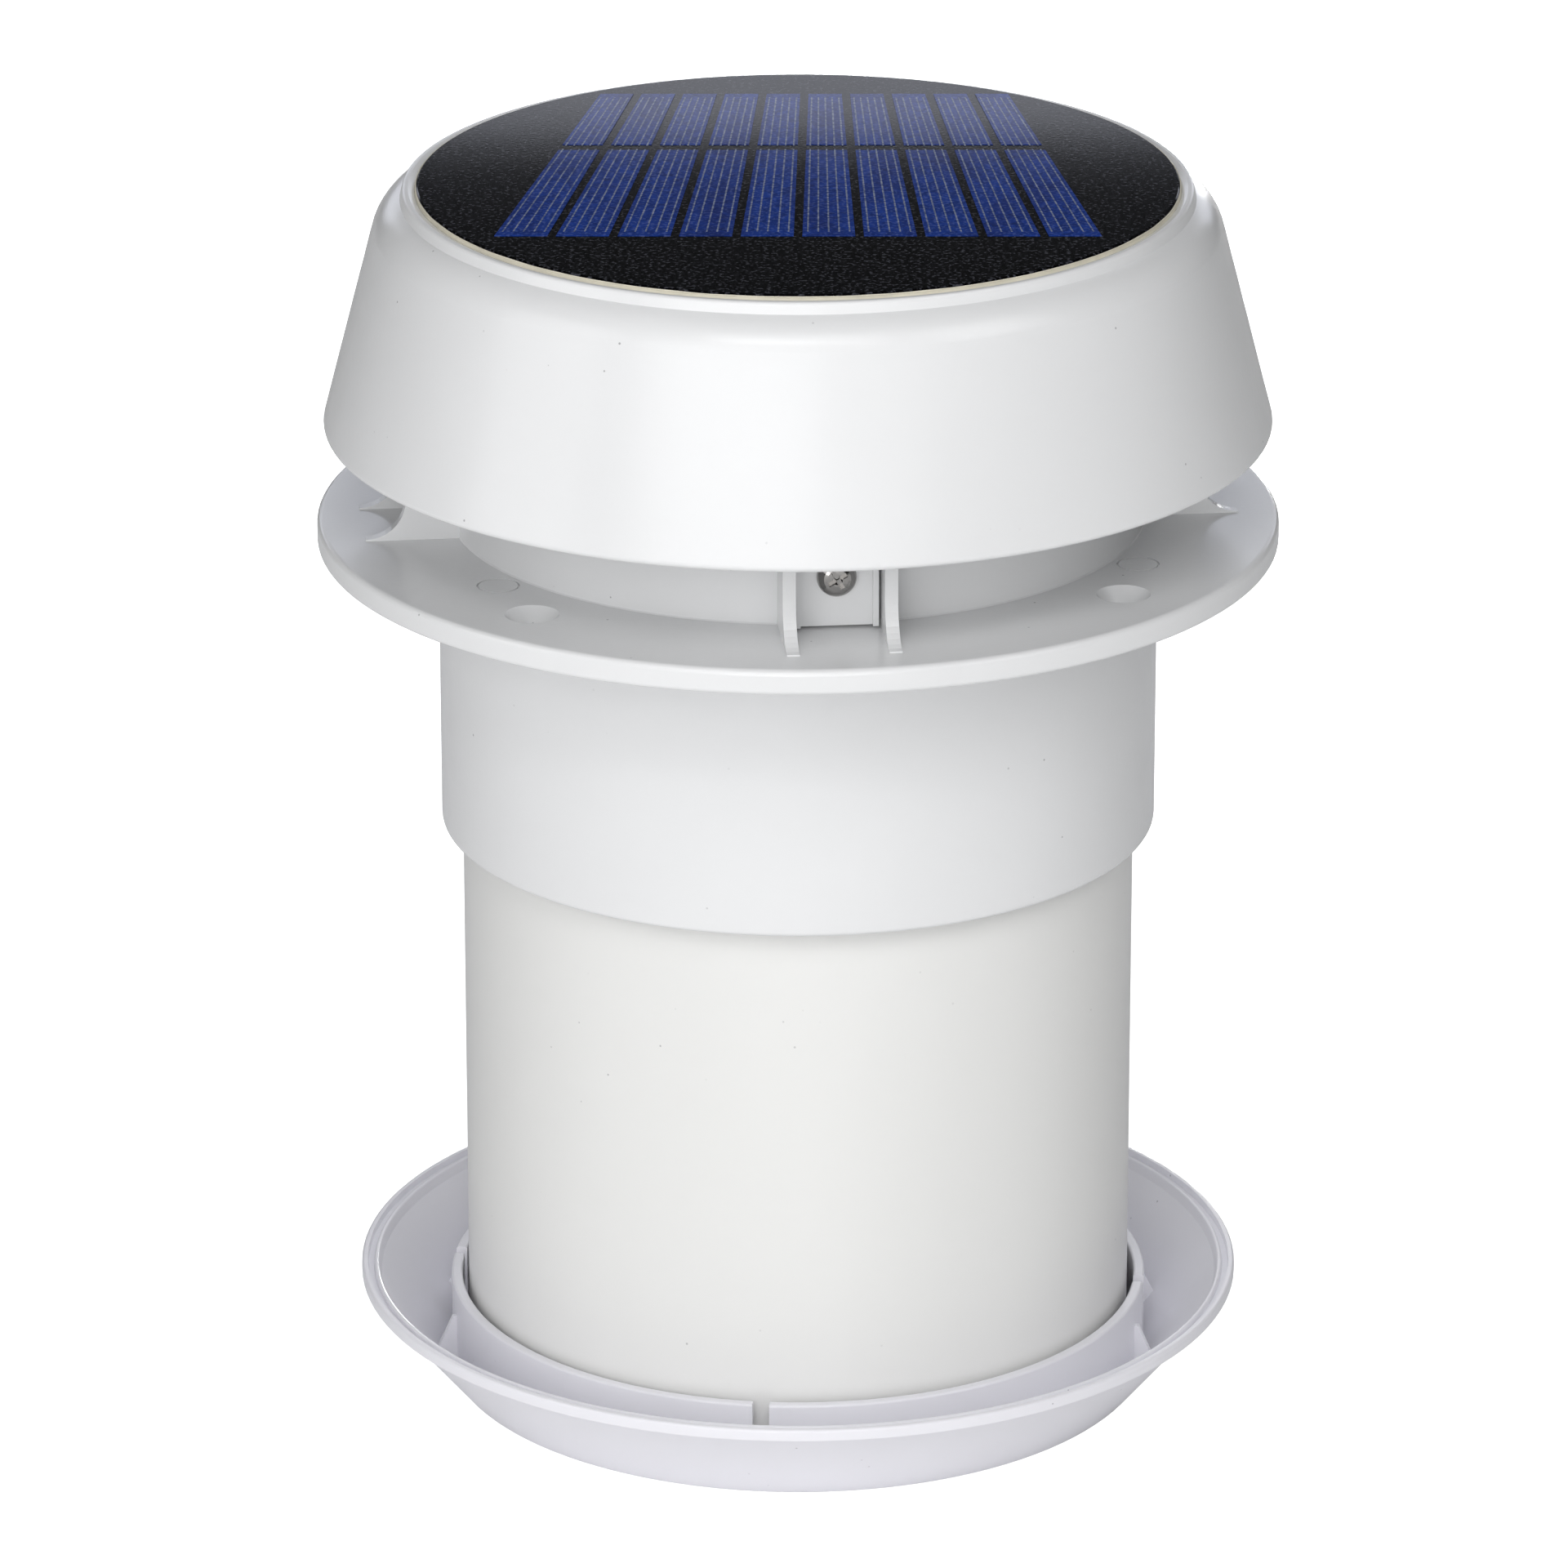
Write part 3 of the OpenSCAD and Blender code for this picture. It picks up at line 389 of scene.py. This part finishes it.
def add_tube(bm, points, radius, sides, closed=False):
    """A tube along points, with its sections square to the way."""
    count = len(points)
    rings = []
    for i, point in enumerate(points):
        before = points[(i - 1) % count] if closed or i > 0 else point
        after = points[(i + 1) % count] if closed or i < count - 1 else point
        way = (after - before).normalized()
        side = way.cross(Vector((0, 0, 1))).normalized()
        up = side.cross(way)
        thick = radius(i) if callable(radius) else radius
        turns = [2 * math.pi * k / sides for k in range(sides)]
        rings.append([bm.verts.new(point + thick * (side * math.cos(a) + up * math.sin(a))) for a in turns])
    for i in range(count if closed else count - 1):
        here, there = rings[i], rings[(i + 1) % count]
        for k in range(sides):
            n = (k + 1) % sides
            bm.faces.new((here[k], here[n], there[n], there[k]))
    if not closed:
        bm.faces.new(list(reversed(rings[0])))
        bm.faces.new(rings[-1])


# ---------- Pieces ----------

FINGERS = 5                # printed grid lines on one cell
FINGER_WIDTH = 0.38 * MM
FINGER_HEIGHT = 0.03 * MM
FINGER_SUNK = 0.1 * MM
FINGER_STUB = 0.7 * MM     # what a line reaches past the cell's inner end
FINGER_BARE = 3.2 * MM     # what it leaves bare at the outer end
FINGER_CHAMFER = 0.01 * MM
EDGE_BAND = 0.2 * MM       # corners within this of an edge belong to it


def across(corners, y):
    """Where a solid begins and ends in X along its edge at y."""
    along = [c.x for c in corners if abs(c.y - y) < EDGE_BAND]
    return min(along), max(along)


def cell_grid_lines():
    """Silver lines printed along each solar cell; they lean with the cell's sides."""
    bm = bmesh.new()
    for corners in islands(NODES["solar_cells"].data):
        near, far = min(c.y for c in corners), max(c.y for c in corners)
        top = max(c.z for c in corners)
        inner, outer = (far, near) if near < 0 else (near, far)
        outward = math.copysign(1, outer - inner)
        for k in range(FINGERS):
            share = (k + 0.5) / FINGERS
            feet = []
            for y in (inner - outward * FINGER_STUB, outer - outward * FINGER_BARE):
                run = (y - near) / (far - near)
                ends = zip(across(corners, near), across(corners, far))
                left, right = (a + (b - a) * run for a, b in ends)
                feet.append(Vector((left + (right - left) * share, y, top - FINGER_SUNK)))
            add_bar(bm, *feet, FINGER_WIDTH, FINGER_SUNK + FINGER_HEIGHT, FINGER_CHAMFER)
    return finish_piece("cell_grid_lines", bm, "nickel", "roof_unit", silver_paste("silver_paste"), False)


BEAD_OUT = 0.18 * MM       # from the panel's edge to the bead's middle
BEAD_DROP = 0.52 * MM      # from the panel's top down to the bead's middle
BEAD_RADIUS = 0.17 * MM
BEAD_SWELL = 0.06 * MM     # how much the radius swells and shrinks
BEAD_STEPS = 540
BEAD_SIDES = 8
BEAD_SEED = 7


def panel_bead():
    """The adhesive that was squeezed out round the panel, uneven as it set."""
    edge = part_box("panel_board")[1]
    random.seed(BEAD_SEED)
    waves = [(random.uniform(5, 60), random.uniform(0, 6.28), random.uniform(0.2, 1)) for _ in range(14)]
    turns = [2 * math.pi * i / BEAD_STEPS for i in range(BEAD_STEPS)]

    def thickness(i):
        swell = sum(w * math.sin(round(n) * turns[i] + p) for n, p, w in waves) / 5
        return BEAD_RADIUS + BEAD_SWELL * swell

    radius, level = edge.x + BEAD_OUT, edge.z - BEAD_DROP
    points = [Vector((radius * math.cos(a), radius * math.sin(a), level)) for a in turns]
    bm = bmesh.new()
    add_tube(bm, points, thickness, BEAD_SIDES, closed=True)
    return finish_piece("panel_bead", bm, "panel_adhesive", "roof_unit")


WIRE_PITCH = 2.4 * MM
WIRE_RADIUS = 0.16 * MM
WIRE_CRIMP = 0.75          # how far a wire bends up and down, in wire radii
WIRE_SIDES = 4
SCREEN_MARGIN = 0.4 * MM   # the weave ends this far inside the screen's edge


def woven_screen():
    """Insect screen: crimped wires that pass over and under each other."""
    low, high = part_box("insect_screen")
    radius = high.x - SCREEN_MARGIN
    level = (low.z + high.z) / 2
    lift = WIRE_RADIUS * WIRE_CRIMP
    reach = int(radius / WIRE_PITCH)
    bm = bmesh.new()
    for along_x in (True, False):
        for k in range(-reach, reach + 1):
            offset = k * WIRE_PITCH
            half = math.sqrt(radius ** 2 - offset ** 2)
            count = max(2, int(2 * half / (WIRE_PITCH / 2)))
            points = []
            for i in range(count + 1):
                run = -half + 2 * half * i / count
                phase = math.pi * (run / WIRE_PITCH + k + (0 if along_x else 1))
                z = level + lift * math.cos(phase)
                points.append(Vector((run, offset, z)) if along_x else Vector((offset, run, z)))
            add_tube(bm, points, WIRE_RADIUS, WIRE_SIDES)
    made = finish_piece("woven_screen", bm, "screen_wire", "ceiling_ring")
    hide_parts("insect_screen")
    return made


# ---------- Stage ----------

FLOOR_HALF = 9.0
FLOOR_GAP = 0.05 * MM      # the floor lies this far under the object
WORLD_COLOUR = (0.95, 0.97, 1.0, 1)
WORLD_STRENGTH = 0.045


def floor():
    """A wide pale sheet that the object stands on."""
    bm = bmesh.new()
    size, level = FLOOR_HALF, CAD_BOX[0].z - FLOOR_GAP
    bm.faces.new([bm.verts.new((x, y, level)) for x, y in
                  ((-size, -size), (size, -size), (size, size), (-size, size))])
    mesh = bpy.data.meshes.new("floor")
    bm.to_mesh(mesh)
    bm.free()
    mesh.materials.append(pale_floor("pale_floor"))
    made = bpy.data.objects.new("floor", mesh)
    bpy.context.scene.collection.objects.link(made)


def softbox(name, place, size, power, colour=(1, 1, 1)):
    """An area light of that width, height and power in watts, which faces the middle of the object."""
    light = bpy.data.lights.new(name, "AREA")
    light.shape = "RECTANGLE"
    light.size, light.size_y = size
    light.energy = power
    light.color = colour
    made = bpy.data.objects.new(name, light)
    made.location = place
    middle = (CAD_BOX[0] + CAD_BOX[1]) / 2
    made.rotation_euler = (middle - made.location).to_track_quat("-Z", "Y").to_euler()
    made.visible_camera = False
    bpy.context.scene.collection.objects.link(made)


def studio():
    """Large soft lamps in front and above, two low ones behind, and a dim world."""
    softbox("wall", Vector((0.0, -3.0, 1.4)), (4.0, 2.6), 27)
    softbox("low", Vector((0.1, -2.5, 0.22)), (1.8, 0.35), 6)
    softbox("key", Vector((-0.8, -2.5, 0.9)), (2.2, 1.8), 18)
    softbox("left", Vector((-2.0, -0.8, 0.9)), (1.2, 1.6), 8)
    softbox("high", Vector((0.0, -1.6, 2.0)), (1.6, 1.0), 12)
    softbox("high_right", Vector((1.7, -1.1, 1.9)), (1.3, 1.3), 11)
    softbox("rear", Vector((0.3, 2.0, 2.3)), (2.0, 0.9), 6)
    # Below the panel's level, so that the film doesn't mirror it
    softbox("back", Vector((0.2, 2.4, 0.15)), (0.8, 0.24), 16)
    softbox("strip", Vector((-0.3, -1.5, 1.75)), (0.9, 0.08), 2.5)
    # Just above the panel's level, so that the film mirrors it at the panel's far side
    softbox("horizon", Vector((0.0, 0.62, 0.386)), (0.8, 0.16), 0.64, (0.86, 0.89, 1.0))
    world = bpy.data.worlds.new("studio")
    world.use_nodes = True
    bpy.context.scene.world = world
    background = world.node_tree.nodes["Background"]
    background.inputs["Color"].default_value = WORLD_COLOUR
    background.inputs["Strength"].default_value = WORLD_STRENGTH


def camera():
    """The camera, and plain tones without a film look."""
    data = bpy.data.cameras.new("camera")
    data.lens = CAMERA_LENS
    data.sensor_width = CAMERA_SENSOR
    data.shift_x, data.shift_y = CAMERA_SHIFT
    data.clip_start, data.clip_end = CAMERA_CLIP
    made = bpy.data.objects.new("camera", data)
    made.location = CAMERA_PLACE
    made.rotation_euler = (math.pi / 2 - CAMERA_PITCH, 0, 0)
    bpy.context.scene.collection.objects.link(made)
    bpy.context.scene.camera = made
    bpy.context.scene.view_settings.view_transform = "Standard"


camera()
studio()
floor()
paint_frame()
cell_grid_lines()
panel_bead()
woven_screen()
